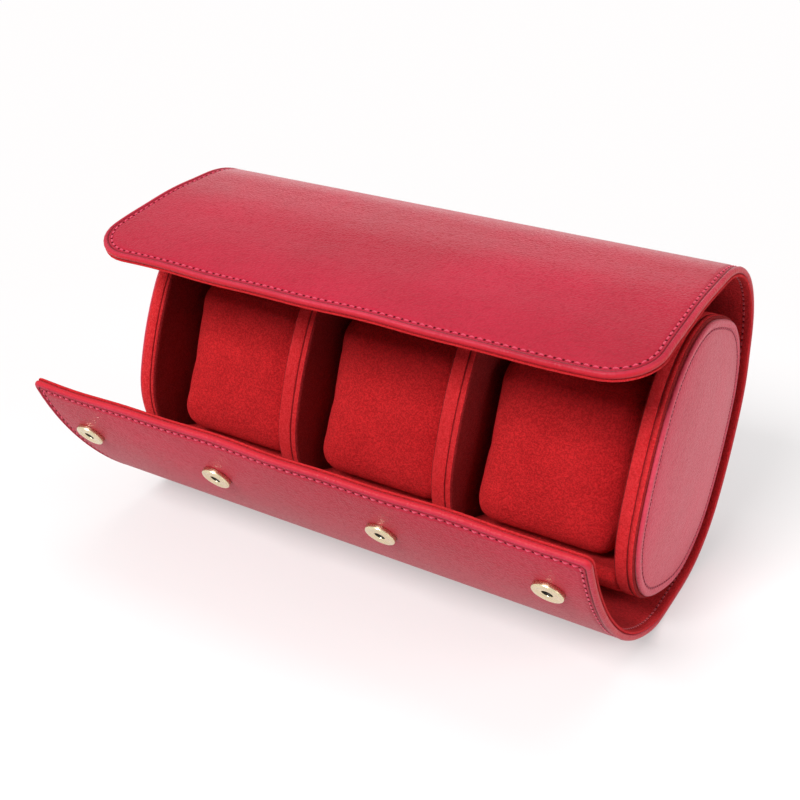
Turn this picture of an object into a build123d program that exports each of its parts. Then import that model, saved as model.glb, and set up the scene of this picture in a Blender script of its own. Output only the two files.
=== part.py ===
from build123d import *
from math import asin, atan2, cos, degrees, hypot, radians, sin, sqrt
import os

# Three-watch travel case: a leather wrap round two end walls and two dividers.
# Millimetres.  +X runs along the case, +Y to its back, +Z up.
# The origin is the middle of the flat base that it stands on.

# --- driving dimensions ------------------------------------------------------

# side outline of the end walls and dividers: a square with round corners and bowed sides
section_depth = 98.0
section_height = 108.0
corner_radius = 40.0
widest_corner = 0.9         # most of a half side that a corner may take
side_radius = 135.0
lean = 22.0                 # degrees that the walls lean back from upright

# along the case
inner_length = 222.0        # over the outer faces of the two end walls
wrap_overhang = 1.0         # wrap past the end walls, at each end
end_wall_thickness = 7.5
divider_thickness = 7.0
divider_spacing = 69.8
wall_skin = 1.0             # suede over the wall's board
wall_round = 0.8            # soft edges of the walls

# leather end caps
cap_board = 1.6
cap_leather = 1.2
cap_dome = 1.4              # padding between cap board and leather, at its middle
cap_rim_radius = 1.6
cap_inset = 0.6             # cap outline inside the wall outline
cap_field_inset = 8.0       # padded field inside the wall outline
cap_field_bevel = 1.2

# wrap layers, from the outside in
leather = 1.2
board = 1.4
lining = 1.0
wrap_fit = 0.3              # glue line between walls and lining
turned_edge = 1.4           # leather turned up round the board's edge
edge_round = 0.9            # outer corner of the turned edge
hinge_gap = 1.9             # from a fold's axis to each panel's edge
upper_hinge_gap = 2.7       # the same at the upper fold, which opens furthest

# wrap panels: chord length, chord direction above the floor, and bow of each one
foot_front = -26.0          # the lower fold, in front of the section's centre
lower_inner_chord = 50.0
lower_inner_rise = 30.0
lower_inner_bow = 3.0
lower_outer_chord = 62.0
lower_outer_rise = 56.0
lower_outer_bow = 3.4
upper_fold_angle = 16.0     # where the upper fold meets the section's rear corner
upper_back_chord = 71.5
upper_back_rise = 138.0
upper_back_bow = 17.0
upper_mid_chord = 34.0
upper_mid_rise = 184.0
upper_mid_bow = 1.0
upper_front_chord = 35.9
upper_front_rise = 191.0
upper_front_bow = 1.0
upper_corner_radius = 18.0
lower_corner_radius = 2.5

# snaps: sockets on the lower flap, studs on the upper flap
snap_from_end = 14.0        # outer snaps, from the wrap's ends
snap_from_middle = 35.5     # inner snaps, from the middle of the case
socket_diameter = 12.6
socket_height = 3.0
socket_bore = 4.6
socket_rim_bevel = 0.7
socket_mouth = 7.6          # dish round the bore, in the socket's top
socket_mouth_depth = 0.6
socket_floor = 0.4
socket_sink = 0.15          # pressed this far into the curved leather
socket_from_edge = 25.0
socket_magnet = 9.0
magnet_hole = 5.6
magnet_height = 1.4
magnet_seat = 0.5           # magnet above the socket's underside
snap_pin_diameter = 3.0
snap_back_diameter = 9.0
snap_back_height = 0.4
snap_back_clear = 0.1       # flange clear of the curved layer behind it
stud_diameter = 3.2
stud_height = 2.6
stud_base_diameter = 9.6
stud_base_bevel = 0.5
stud_tip_bevel = 0.5
stud_base_height = 1.0
stud_from_edge = 7.2

# cushions and the beds behind them
cushion_width = 57.0
cushion_depth = 50.0
cushion_height = 66.0
cushion_corner = 20.0
cushion_end_bevel = 5.5
cushion_forward = 10.0      # cushion centre in front of the section's centre
cushion_drop = 8.0
cushion_wrap = 3.2          # suede and wadding over the foam core
bed_gap = 0.5
bed_top = 22.0              # top of the bed's back, above the section's centre
bed_front_inset = 16.0      # front of the bed's floor, behind the section's front

# --- worked out from them ----------------------------------------------------

wrap_width = inner_length + 2 * wrap_overhang
outer_snap = wrap_width / 2 - snap_from_end
snap_places = (-outer_snap, -snap_from_middle, snap_from_middle, outer_snap)
wrap_thickness = leather + board + lining
neutral = wrap_fit + wrap_thickness / 2
half_inner = inner_length / 2
corner = min(corner_radius, widest_corner * min(section_depth, section_height) / 2)


def turn(y, z, angle):
    """The point turned about the section's centre, in degrees."""
    c, s = cos(radians(angle)), sin(radians(angle))
    return y * c - z * s, y * s + z * c


def corner_centre():
    """Centre of the upper rear corner arc, before the section leans."""
    a = side_radius - section_depth / 2
    b = side_radius - section_height / 2
    reach = side_radius - corner
    # both side circles touch the corner circle from outside: two distances equal reach
    span = hypot(a, b)
    half = span / 2
    rise = sqrt(reach * reach - half * half)
    my, mz = -a / 2, -b / 2
    return my + rise * b / span, mz + rise * a / span


corner_y, corner_z = corner_centre()
low_centre = turn(corner_y, -corner_z, -lean)
rear_centre = turn(corner_y, corner_z, -lean)
base_drop = corner + wrap_fit + wrap_thickness - low_centre[1]
centre_height = base_drop


def place(y, z):
    """Section coordinates to the part's own."""
    return y, z + centre_height


def arc(centre, radius, start, size):
    return CenterArc((centre[0], centre[1], 0), radius, start, size).edge()


def section(offset):
    """The section outline grown by offset, as a face in the side plane."""
    cy, cz = corner_y, corner_z
    a = side_radius - section_depth / 2
    b = side_radius - section_height / 2
    side = degrees(atan2(cz, cy + a))
    top = degrees(atan2(cy, cz + b))
    r, big = corner + offset, side_radius + offset
    quarters = ((1, 1, 0), (-1, 1, 90), (-1, -1, 180), (1, -1, 270))
    edges = []
    for sy, sz, first in quarters:
        low, high = (side, top) if first in (0, 180) else (top, side)
        edges.append(arc(turn(sy * cy, sz * cz, -lean), r, first + low - lean, 90 - low - high))
    edges.append(arc(turn(-a, 0, -lean), big, -side - lean, 2 * side))
    edges.append(arc(turn(0, -b, -lean), big, 90 - top - lean, 2 * top))
    edges.append(arc(turn(a, 0, -lean), big, 180 - side - lean, 2 * side))
    edges.append(arc(turn(0, b, -lean), big, 270 - top - lean, 2 * top))
    return Pos(0, centre_height) * Face(Wire(edges))


def along(face, start, length):
    """A side-plane face as a solid that runs from start along X."""
    return Pos(start, 0, 0) * extrude(Plane.YZ * face, length, dir=(1, 0, 0))


# --- wrap panels -------------------------------------------------------------

class Panel:
    """One stiff panel of the wrap: an arc in the side plane, at the wrap's middle thickness."""

    def __init__(self, start, chord, heading, bow, inner_side):
        self.start = start
        y, z = cos(radians(heading)), sin(radians(heading))
        self.end = (start[0] + chord * y, start[1] + chord * z)
        inward = (-z * inner_side, y * inner_side)
        self.radius = (chord * chord / 4 + bow * bow) / (2 * bow)
        drop = self.radius - bow
        middle = ((start[0] + self.end[0]) / 2, (start[1] + self.end[1]) / 2)
        self.centre = (middle[0] + inward[0] * drop, middle[1] + inward[1] * drop)
        self.heading = heading
        self.outward = (-inward[0], -inward[1])
        self.sweep = 2 * degrees(asin(chord / 2 / self.radius)) * inner_side
        self.first = degrees(atan2(start[1] - self.centre[1], start[0] - self.centre[0]))
        self.length = radians(abs(self.sweep)) * self.radius

    def angle(self, distance):
        """The angle round the arc's centre, at a distance from the panel's start."""
        return self.first + self.sweep * distance / self.length

    def point(self, distance, depth):
        """A point and its outward direction, at a depth under the outer face."""
        turned = radians(self.angle(distance))
        away = (cos(turned), sin(turned))
        r = self.radius + wrap_thickness / 2 - depth
        return (self.centre[0] + r * away[0], self.centre[1] + r * away[1]), away

    def band(self, shallow, deep, from_start, to_end):
        """The face between two depths, cut short of the panel's start and end."""
        begin, finish = from_start, self.length - to_end
        size = self.sweep * (finish - begin) / self.length
        outer = self.radius + wrap_thickness / 2 - shallow
        inner = self.radius + wrap_thickness / 2 - deep
        a, _ = self.point(begin, shallow)
        b, _ = self.point(begin, deep)
        c, _ = self.point(finish, shallow)
        d, _ = self.point(finish, deep)
        edges = [
            arc(self.centre, outer, self.angle(begin), size),
            arc(self.centre, inner, self.angle(begin), size),
            Edge.make_line((a[0], a[1], 0), (b[0], b[1], 0)),
            Edge.make_line((c[0], c[1], 0), (d[0], d[1], 0)),
        ]
        return Face(Wire(edges))

    def frame(self, distance, depth, facing=1):
        """A plane on the panel: x along the case, z out of the outer face, or into it."""
        (y, z), away = self.point(distance, depth)
        return Plane((0, y, z), x_dir=(1, 0, 0), z_dir=(0, facing * away[0], facing * away[1]))


low_fold = place(foot_front, low_centre[1] - corner - neutral)
upper_fold_radius = corner + neutral
upper_fold = place(
    rear_centre[0] + upper_fold_radius * cos(radians(upper_fold_angle)),
    rear_centre[1] + upper_fold_radius * sin(radians(upper_fold_angle)),
)
lower_inner = Panel(low_fold, lower_inner_chord, 180 - lower_inner_rise, lower_inner_bow, -1)
lower_outer = Panel(lower_inner.end, lower_outer_chord, 180 - lower_outer_rise, lower_outer_bow, -1)
upper_back = Panel(upper_fold, upper_back_chord, upper_back_rise, upper_back_bow, 1)
upper_middle = Panel(upper_back.end, upper_mid_chord, upper_mid_rise, upper_mid_bow, 1)
upper_front = Panel(upper_middle.end, upper_front_chord, upper_front_rise, upper_front_bow, 1)


def corner_trim(panel, inset, radius):
    """A prism square to the panel that rounds its two free corners."""
    width = wrap_width - 2 * inset
    reach = 3 * panel.length
    plane = Plane((0, *panel.end), x_dir=(1, 0, 0), z_dir=(0, *panel.outward))
    # the plane's y runs along the panel, towards or away from its free edge
    y_dir = plane.y_dir
    along_panel = y_dir.Y * cos(radians(panel.heading)) + y_dir.Z * sin(radians(panel.heading))
    towards = 1 if along_panel > 0 else -1
    sheet = Pos(0, -towards * (reach / 2 + inset)) * RectangleRounded(width, reach, radius)
    return extrude(plane * sheet, panel.length, both=True)


def rounded_rim(solid, outer_face_at, fold_points):
    """The wrap's edges rounded on its outer face, except along the folds."""
    face = solid.faces().sort_by_distance(outer_face_at)[0]
    rim = []
    for edge in face.edges():
        middle = edge @ 0.5
        along_fold = abs(edge.tangent_at(0.5).X) > 0.999 and any(
            hypot(middle.Y - y, middle.Z - z) < wrap_thickness for y, z in fold_points
        )
        if not along_fold:
            rim.append(edge)
    return fillet(rim, edge_round)


def flap_layers(panel, free_radius=None, first_gap=hinge_gap):
    """The leather, board and lining of one flap panel."""
    free = free_radius is not None
    end_cut = 0 if free else hinge_gap
    rim = turned_edge if free else 0
    half = wrap_width / 2
    whole = along(panel.band(0, wrap_thickness, first_gap, end_cut), -half, wrap_width)
    inside = half - turned_edge
    filling = panel.band(leather, wrap_thickness, first_gap, end_cut)
    pocket = along(filling, -inside, 2 * inside)
    board_face = panel.band(leather, leather + board, first_gap, end_cut)
    lining_face = panel.band(leather + board, wrap_thickness, first_gap, end_cut)
    board_solid = along(board_face, -inside, 2 * inside)
    lining_solid = along(lining_face, -inside, 2 * inside)
    if free:
        trim = corner_trim(panel, 0, free_radius)
        inner_trim = corner_trim(panel, rim, max(free_radius - rim, 0.4))
        whole = whole & trim
        pocket = pocket & inner_trim
        board_solid = board_solid & inner_trim
        lining_solid = lining_solid & inner_trim
    folds = [panel.start] if free else [panel.start, panel.end]
    (y, z), _ = panel.point(panel.length / 2, 0)
    whole = rounded_rim(whole, (0, y, z), folds)
    return whole - pocket, board_solid, lining_solid


def back_face(shallow, deep):
    """The fixed part of the wrap: the flat foot, the lower rear corner and the back."""
    outer = wrap_fit + wrap_thickness - shallow
    inner = wrap_fit + wrap_thickness - deep
    ring = section(outer) - section(inner)
    far = 3 * section_height
    stop = upper_fold_angle - degrees(upper_hinge_gap / upper_fold_radius)
    hub = place(*rear_centre)
    low = place(*low_centre)
    wedge = Polygon(
        low,
        (low[0], -far),
        (far, -far),
        (hub[0] + far * cos(radians(stop)), hub[1] + far * sin(radians(stop))),
        hub,
        align=None,
    )
    foot = Polygon(
        (foot_front + hinge_gap, shallow),
        (low[0], shallow),
        (low[0], deep),
        (foot_front + hinge_gap, deep),
        align=None,
    )
    return (ring & wedge) + foot


def back_layers():
    """The leather, board and lining of the wrap's fixed part."""
    half = wrap_width / 2
    inside = half - turned_edge
    whole = along(back_face(0, wrap_thickness), -half, wrap_width)
    walls_face = Plane.YZ * section(0)
    far_side = wrap_fit + wrap_thickness / 2
    rim = []
    for edge in whole.edges():
        middle = edge @ 0.5
        at_end = abs(abs(middle.X) - half) < wrap_fit and abs(edge.tangent_at(0.5).X) < wrap_fit
        runs_round = edge.length > 2 * wrap_thickness
        if at_end and runs_round and walls_face.distance_to(Vertex(0, middle.Y, middle.Z)) > far_side:
            rim.append(edge)
    whole = fillet(rim, edge_round)
    pocket = along(back_face(leather, wrap_thickness), -inside, 2 * inside)
    board_solid = along(back_face(leather, leather + board), -inside, 2 * inside)
    lining_solid = along(back_face(leather + board, wrap_thickness), -inside, 2 * inside)
    return whole - pocket, board_solid, lining_solid


# --- walls and caps ----------------------------------------------------------

def wall(start, thickness):
    """A suede-covered wall that starts at one X: its cover and the board inside it."""
    outside = along(section(0), start, thickness)
    outside = chamfer(outside.edges().filter_by(Plane.YZ), wall_round)
    core = along(section(-wall_skin), start + wall_skin, thickness - 2 * wall_skin)
    return outside - core, core


def cap(side):
    """A leather end cap on the outer face of an end wall: leather, board and padding."""
    height = cap_board + cap_leather
    rim = along(section(-cap_inset), half_inner, height)
    rim = fillet(rim.faces().sort_by(Axis.X)[-1].outer_wire().edges(), cap_rim_radius)
    field = along(section(-cap_field_inset), half_inner, height + cap_dome)
    field = chamfer(field.faces().sort_by(Axis.X)[-1].outer_wire().edges(), cap_field_bevel)
    board_solid = along(section(-cap_inset - cap_leather), half_inner, cap_board)
    pad_solid = along(section(-cap_field_inset - cap_leather), half_inner + cap_board, cap_dome)
    shell = (rim + field) - board_solid - pad_solid
    pieces = (shell, board_solid, pad_solid)
    if side < 0:
        return tuple(mirror(piece, Plane.YZ) for piece in pieces)
    return pieces


# --- cushions and beds -------------------------------------------------------

def leaning(face):
    """A face drawn about the section's centre, leant with the section."""
    return Pos(0, centre_height) * (Rot(0, 0, -lean) * face)


def cushion(middle):
    """A cushion at one X: its padded cover and its foam core."""
    centre = Pos(-cushion_forward, -cushion_drop)
    shape = centre * RectangleRounded(cushion_depth, cushion_height, cushion_corner)
    outside = along(leaning(shape), middle - cushion_width / 2, cushion_width)
    ends = outside.faces().filter_by(Axis.X)
    outside = chamfer([edge for face in ends for edge in face.edges()], cushion_end_bevel)
    both = 2 * cushion_wrap
    core_shape = centre * RectangleRounded(
        cushion_depth - both, cushion_height - both, cushion_corner - cushion_wrap
    )
    core_width = cushion_width - both
    core = along(leaning(core_shape), middle - core_width / 2, core_width)
    return outside - core, core


def bed(start, width):
    """The padded bed that holds a cushion forward in its compartment."""
    far = 2 * section_height
    back = -cushion_forward + cushion_depth / 2 + bed_gap
    floor = -cushion_drop - cushion_height / 2 - bed_gap
    hollow_corner = cushion_corner + bed_gap
    hollow = Pos(back - far / 2, floor + far / 2) * RectangleRounded(far, far, hollow_corner)
    top = Pos(0, bed_top + far / 2) * Rectangle(2 * far, far)
    front = Pos(-section_depth / 2 + bed_front_inset - far / 2, 0) * Rectangle(far, 2 * far)
    cut = leaning(hollow + top + front)
    return along(section(0) - cut, start, width)


# --- snaps -------------------------------------------------------------------

def at_snaps(piece, plane):
    """One copy of a small piece at each snap's place along the case."""
    return Compound([Pos(x, 0, 0) * (plane * piece) for x in snap_places])


def disc(diameter, height, base=0.0):
    """A cylinder that stands on the local XY plane, or above it by base."""
    grounded = (Align.CENTER, Align.CENTER, Align.MIN)
    return Pos(0, 0, base) * Cylinder(diameter / 2, height, align=grounded)


def socket_shell():
    """The snap socket's metal shell, open at its bore and hollow for the magnet."""
    shell = disc(socket_diameter, socket_height)
    shell = chamfer(shell.edges().group_by(Axis.Z)[-1], socket_rim_bevel)
    shell -= disc(socket_mouth, socket_height, socket_height - socket_mouth_depth)
    shell -= disc(socket_bore, socket_height, socket_floor)
    return shell - magnet_ring()


def magnet_ring():
    """The ring magnet inside a socket."""
    ring = disc(socket_magnet, magnet_height, magnet_seat)
    return ring - disc(magnet_hole, magnet_height, magnet_seat)


def snap_pin(depth):
    """A snap's pin through the layers under it, with a flange at its far end."""
    return disc(snap_pin_diameter, depth, -depth) + disc(snap_back_diameter, snap_back_height, -depth)


def stud():
    """The snap's stud: a flat base and a round-ended post."""
    base = disc(stud_base_diameter, stud_base_height)
    base = chamfer(base.edges().group_by(Axis.Z)[-1], stud_base_bevel)
    post = disc(stud_diameter, stud_base_height + stud_height)
    post = chamfer(post.edges().group_by(Axis.Z)[-1], stud_tip_bevel)
    return base + post


# --- the object --------------------------------------------------------------

def build():
    parts = {}

    def layers(name, pieces):
        for kind, piece in zip(("leather", "board", "lining"), pieces):
            parts[f"{name}_{kind}"] = piece

    layers("wrap_back", back_layers())
    layers("lower_flap_inner", flap_layers(lower_inner))
    layers("lower_flap_outer", flap_layers(lower_outer, lower_corner_radius))
    layers("upper_flap_back", flap_layers(upper_back, first_gap=upper_hinge_gap))
    layers("upper_flap_middle", flap_layers(upper_middle))
    layers("upper_flap_front", flap_layers(upper_front, upper_corner_radius))

    # snap sockets on the lower flap's leather, pinned through leather and board
    from_start = lower_outer.length - socket_from_edge
    face = lower_outer.frame(from_start, socket_sink)
    sockets = at_snaps(socket_shell(), face)
    pins = at_snaps(snap_pin(leather + board - socket_sink - snap_back_clear), face)
    parts["snap_socket_shells"] = sockets
    parts["snap_socket_magnets"] = at_snaps(magnet_ring(), face)
    parts["snap_socket_pins"] = pins
    parts["lower_flap_outer_leather"] = parts["lower_flap_outer_leather"] - sockets - pins
    parts["lower_flap_outer_board"] -= pins

    # studs on the upper flap's lining, pinned through lining and board
    from_start = upper_front.length - stud_from_edge
    face = upper_front.frame(from_start, wrap_thickness, facing=-1)
    studs = at_snaps(stud(), face)
    pins = at_snaps(snap_pin(lining + board - snap_back_clear), face)
    parts["snap_studs"] = studs
    parts["snap_stud_pins"] = pins
    parts["upper_flap_front_lining"] = parts["upper_flap_front_lining"] - studs - pins
    parts["upper_flap_front_board"] -= pins

    for name, side in (("left", -1), ("right", 1)):
        start = -half_inner if side < 0 else half_inner - end_wall_thickness
        cover, core = wall(start, end_wall_thickness)
        parts[f"end_wall_{name}_suede"] = cover
        parts[f"end_wall_{name}_board"] = core
        shell, cap_plate, pad = cap(side)
        parts[f"end_cap_{name}_leather"] = shell
        parts[f"end_cap_{name}_board"] = cap_plate
        parts[f"end_cap_{name}_padding"] = pad
        middle = side * divider_spacing / 2
        cover, core = wall(middle - divider_thickness / 2, divider_thickness)
        parts[f"divider_{name}_suede"] = cover
        parts[f"divider_{name}_board"] = core

    # compartments: between the walls' inner faces
    wall_face = half_inner - end_wall_thickness
    near = divider_spacing / 2 - divider_thickness / 2
    away = divider_spacing / 2 + divider_thickness / 2
    spans = (("left", -wall_face, -away), ("middle", -near, near), ("right", away, wall_face))
    for name, low, high in spans:
        parts[f"bed_{name}"] = bed(low, high - low)
        cover, foam = cushion((low + high) / 2)
        parts[f"cushion_{name}_suede"] = cover
        parts[f"cushion_{name}_foam"] = foam
    return parts


def main():
    os.makedirs("parts", exist_ok=True)
    parts = build()
    for name, piece in parts.items():
        export_step(piece, f"parts/{name}.step")
    for panel, name in (
        (lower_inner, "lower_flap_inner"),
        (lower_outer, "lower_flap_outer"),
        (upper_back, "upper_flap_back"),
        (upper_middle, "upper_flap_middle"),
        (upper_front, "upper_flap_front"),
    ):
        start = tuple(round(v, 2) for v in panel.start)
        end = tuple(round(v, 2) for v in panel.end)
        print(name, "fold at y, z", start, "to", end, "length", round(panel.length, 1))


main()
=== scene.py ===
import math
import random

import bmesh
import bpy
import numpy as np
from mathutils import Matrix, Vector


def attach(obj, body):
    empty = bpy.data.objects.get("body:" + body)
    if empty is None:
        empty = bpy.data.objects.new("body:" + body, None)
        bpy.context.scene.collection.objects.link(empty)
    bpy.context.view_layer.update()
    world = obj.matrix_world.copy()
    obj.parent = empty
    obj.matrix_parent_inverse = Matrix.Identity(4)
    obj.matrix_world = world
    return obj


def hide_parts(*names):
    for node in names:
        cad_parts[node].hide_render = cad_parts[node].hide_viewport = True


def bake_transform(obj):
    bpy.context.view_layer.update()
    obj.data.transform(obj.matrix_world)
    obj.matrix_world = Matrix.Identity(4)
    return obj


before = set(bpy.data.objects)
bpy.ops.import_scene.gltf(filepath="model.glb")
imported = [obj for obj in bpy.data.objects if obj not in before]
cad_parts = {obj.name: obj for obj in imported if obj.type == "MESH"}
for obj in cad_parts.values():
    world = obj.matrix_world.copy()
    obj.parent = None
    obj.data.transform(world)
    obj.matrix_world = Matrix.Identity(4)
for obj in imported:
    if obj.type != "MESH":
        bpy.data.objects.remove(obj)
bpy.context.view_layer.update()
MM = 0.001
rng = random.Random(7)

# --- sizes in millimetres, those of the case as in the part ------------------

HALF_WRAP = 115.0               # the turned edges stand a little past the part's stiff layers
SECTION_DEPTH = 98.0
SECTION_HEIGHT = 108.0
CORNER_RADIUS = 40.0
SIDE_RADIUS = 135.0
LEAN = 22.0
WRAP_THICKNESS = 3.6
WRAP_FIT = 0.3
UPPER_CORNER = 18.0
LOWER_CORNER = 2.5
SEAM = 3.3                      # stitch line inside the edge
STITCH_PITCH = 3.1
STITCH_GAP = 0.19               # of the pitch, at each end of a stitch
FOOT_FRONT = -26.0              # the lower fold, in front of the section's centre
UPPER_FOLD_ANGLE = 16.0         # the upper fold, round the section's rear corner
# panels of the wrap: chord, direction above the floor, bow, and which side is inside
LOWER_INNER = (50.0, 150.0, 3.0, -1)
LOWER_OUTER = (62.0, 124.0, 3.4, -1)
UPPER_BACK = (71.5, 138.0, 17.0, 1)
UPPER_MIDDLE = (34.0, 184.0, 1.0, 1)
UPPER_FRONT = (35.9, 191.0, 1.0, 1)
SNAPS = (-98.0, -35.5, 35.5, 98.0)
SOCKET_FROM_EDGE = 25.0
STUD_FROM_EDGE = 7.2

# --- the wrap's line in the side plane ---------------------------------------


def turned(y, z, angle):
    """Coordinates turned round the x axis by an angle in degrees."""
    c, s = math.cos(math.radians(angle)), math.sin(math.radians(angle))
    return np.array((y * c - z * s, y * s + z * c))


def corner_centre():
    """Centre of the upper rear corner's arc, before the section leans, and the two arcs' half angles."""
    a = SIDE_RADIUS - SECTION_DEPTH / 2
    b = SIDE_RADIUS - SECTION_HEIGHT / 2
    span = math.hypot(a, b)
    reach = SIDE_RADIUS - CORNER_RADIUS
    rise = math.sqrt(reach * reach - span * span / 4)
    y, z = -a / 2 + rise * b / span, -b / 2 + rise * a / span
    return y, z, math.degrees(math.atan2(z, y + a)), math.degrees(math.atan2(y, z + b))


CORNER_Y, CORNER_Z, SIDE_ANGLE, TOP_ANGLE = corner_centre()
CENTRE_HEIGHT = CORNER_RADIUS + WRAP_FIT + WRAP_THICKNESS - turned(CORNER_Y, -CORNER_Z, -LEAN)[1]


def place(y, z):
    """A point of the upright section, leant and set on the floor."""
    return turned(y, z, -LEAN) + (0, CENTRE_HEIGHT)


def place_all(points):
    """The same for rows of points."""
    y, z = turned(points[:, 0], points[:, 1], -LEAN)
    return np.c_[y, z + CENTRE_HEIGHT]


def arc_line(centre, radius, first, last):
    """Points along an arc, about a millimetre apart."""
    count = max(2, int(abs(math.radians(last - first)) * radius))
    a = np.radians(np.linspace(first, last, count))
    return np.c_[centre[0] + radius * np.cos(a), centre[1] + radius * np.sin(a)]


def panel_line(start, chord, heading, bow, inner_side):
    """One panel's outer face as points, from its start to its end, and its end on the fold line."""
    a = math.radians(heading)
    along = np.array((math.cos(a), math.sin(a)))
    end = start + chord * along
    inward = np.array((-along[1], along[0])) * inner_side
    radius = (chord * chord / 4 + bow * bow) / (2 * bow)
    centre = (start + end) / 2 + inward * (radius - bow)
    half = math.degrees(math.asin(chord / 2 / radius)) * inner_side
    middle = math.degrees(math.atan2(-inward[1], -inward[0]))
    return arc_line(centre, radius + WRAP_THICKNESS / 2, middle - half, middle + half), end


def wrap_line():
    """The wrap's outer face from the lower free edge to the upper one, and its folds."""
    low, rear = place(CORNER_Y, -CORNER_Z), place(CORNER_Y, CORNER_Z)
    outer = WRAP_FIT + WRAP_THICKNESS
    fold_radius = CORNER_RADIUS + outer - WRAP_THICKNESS / 2
    a = math.radians(UPPER_FOLD_ANGLE)
    folds = {
        "lower_inner": np.array((FOOT_FRONT, WRAP_THICKNESS / 2)),
        "upper_back": rear + fold_radius * np.array((math.cos(a), math.sin(a))),
    }
    inner, folds["lower_outer"] = panel_line(folds["lower_inner"], *LOWER_INNER)
    free, _ = panel_line(folds["lower_outer"], *LOWER_OUTER)
    back, folds["upper_middle"] = panel_line(folds["upper_back"], *UPPER_BACK)
    middle, folds["upper_front"] = panel_line(folds["upper_middle"], *UPPER_MIDDLE)
    front, _ = panel_line(folds["upper_front"], *UPPER_FRONT)
    foot = np.array([(y, 0.0) for y in np.arange(FOOT_FRONT, low[0], 1.0)])
    bottom_corner = arc_line(low, CORNER_RADIUS + outer, -90, -SIDE_ANGLE - LEAN)
    rear_side = arc_line(place(SECTION_DEPTH / 2 - SIDE_RADIUS, 0), SIDE_RADIUS + outer,
                         -SIDE_ANGLE - LEAN, SIDE_ANGLE - LEAN)
    top_corner = arc_line(rear, CORNER_RADIUS + outer, SIDE_ANGLE - LEAN, UPPER_FOLD_ANGLE)
    lower_flap, rear_corners = [free[::-1], inner[::-1]], [bottom_corner, rear_side, top_corner]
    return np.vstack([*lower_flap, foot, *rear_corners, back, middle, front]), folds


def evenly(line, step, closed=False):
    """The line again in even steps, and the run at each point. A closed one ends a step before its start."""
    if closed:
        line = np.vstack([line, line[:1]])
    run = np.r_[0, np.cumsum(np.hypot(*np.diff(line, axis=0).T))]
    count = int(round(run[-1] / step))
    even = np.linspace(0, run[-1], count, endpoint=False) if closed else np.linspace(0, run[-1], count + 1)
    return np.c_[np.interp(even, run, line[:, 0]), np.interp(even, run, line[:, 1])], even


def eased(line, reach):
    """The line with its folds eased into bends, its two ends left straight."""
    near = np.arange(1, reach * 4 + 1)[:, None]
    longer = np.vstack([line[0] + (line[0] - line[1]) * near[::-1], line,
                        line[-1] + (line[-1] - line[-2]) * near])
    weight = np.exp(-np.arange(-reach * 4, reach * 4 + 1) ** 2 / (2 * reach * reach))
    weight /= weight.sum()
    return np.c_[np.convolve(longer[:, 0], weight, "valid"), np.convolve(longer[:, 1], weight, "valid")]


PATH_STEP = 1.0
FOLD_EASE = 5                   # steps over which the line's folds are eased
sharp_line, FOLDS = wrap_line()
PATH, PATH_RUN = evenly(eased(evenly(sharp_line, PATH_STEP)[0], FOLD_EASE), PATH_STEP)
PATH_LENGTH = PATH_RUN[-1]
PATH_SLOPE = np.gradient(PATH, axis=0)
PATH_SLOPE /= np.hypot(*PATH_SLOPE.T)[:, None]
# the wrap runs so that its outside is on the right of travel
PATH_OUT = np.c_[PATH_SLOPE[:, 1], -PATH_SLOPE[:, 0]]


def on_path(s):
    """(point, outward) on the wrap's outer face, at a run along it."""
    s = np.asarray(s, float)
    inside = np.clip(s, 0, PATH_LENGTH)
    point = np.stack([np.interp(inside, PATH_RUN, PATH[:, k]) for k in (0, 1)], -1)
    out = np.stack([np.interp(inside, PATH_RUN, PATH_OUT[:, k]) for k in (0, 1)], -1)
    return point, out


# --- helpers -----------------------------------------------------------------


def make(name, verts, faces, materials, uv=None, normals=None, face_material=None, edge=None):
    """A smooth mesh object from millimetre points. edge holds distances from the wrap's sewn edge."""
    mesh = bpy.data.meshes.new(name)
    mesh.from_pydata((np.asarray(verts, float) * MM).tolist(), [], [tuple(f) for f in faces])
    for m in materials:
        mesh.materials.append(m)
    mesh.polygons.foreach_set("use_smooth", [True] * len(mesh.polygons))
    if face_material is not None:
        mesh.polygons.foreach_set("material_index", face_material)
    if uv is not None:
        layer = mesh.uv_layers.new(name="cloth")
        loops = np.zeros(len(mesh.loops), int)
        mesh.loops.foreach_get("vertex_index", loops)
        layer.data.foreach_set("uv", (np.asarray(uv, float)[loops] * MM).ravel())
    if edge is not None:
        distance = mesh.attributes.new("edge", "FLOAT", "POINT")
        distance.data.foreach_set("value", np.asarray(edge, np.float32))
    mesh.update()
    mesh.validate()
    if normals is not None:
        mesh.normals_split_custom_set_from_vertices(np.asarray(normals, float).tolist())
    obj = bpy.data.objects.new(name, mesh)
    bpy.context.collection.objects.link(obj)
    return obj


def vertex_normals(verts, faces):
    """Unit normals at the points, each the mean of its faces by area."""
    v = np.asarray(verts, float)
    n = np.zeros_like(v)
    for f in faces:
        p = v[list(f)]
        c = np.zeros(3)
        for i in range(1, len(f) - 1):
            c += np.cross(p[i] - p[0], p[i + 1] - p[0])
        n[list(f)] += c
    length = np.linalg.norm(n, axis=1)
    length[length == 0] = 1
    return n / length[:, None]


def outward(obj):
    """Turns every face of a closed piece to its outside."""
    bm = bmesh.new()
    bm.from_mesh(obj.data)
    bmesh.ops.recalc_face_normals(bm, faces=bm.faces)
    bm.to_mesh(obj.data)
    bm.free()


def tube_faces(rings, count):
    """Quads between rings of count points each, and one face across each end."""
    faces = []
    for k in range(rings - 1):
        for i in range(count):
            j = (i + 1) % count
            faces.append((k * count + i, k * count + j, (k + 1) * count + j, (k + 1) * count + i))
    faces.append(tuple(range(count))[::-1])
    faces.append(tuple((rings - 1) * count + i for i in range(count)))
    return faces


# --- materials ---------------------------------------------------------------


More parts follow.
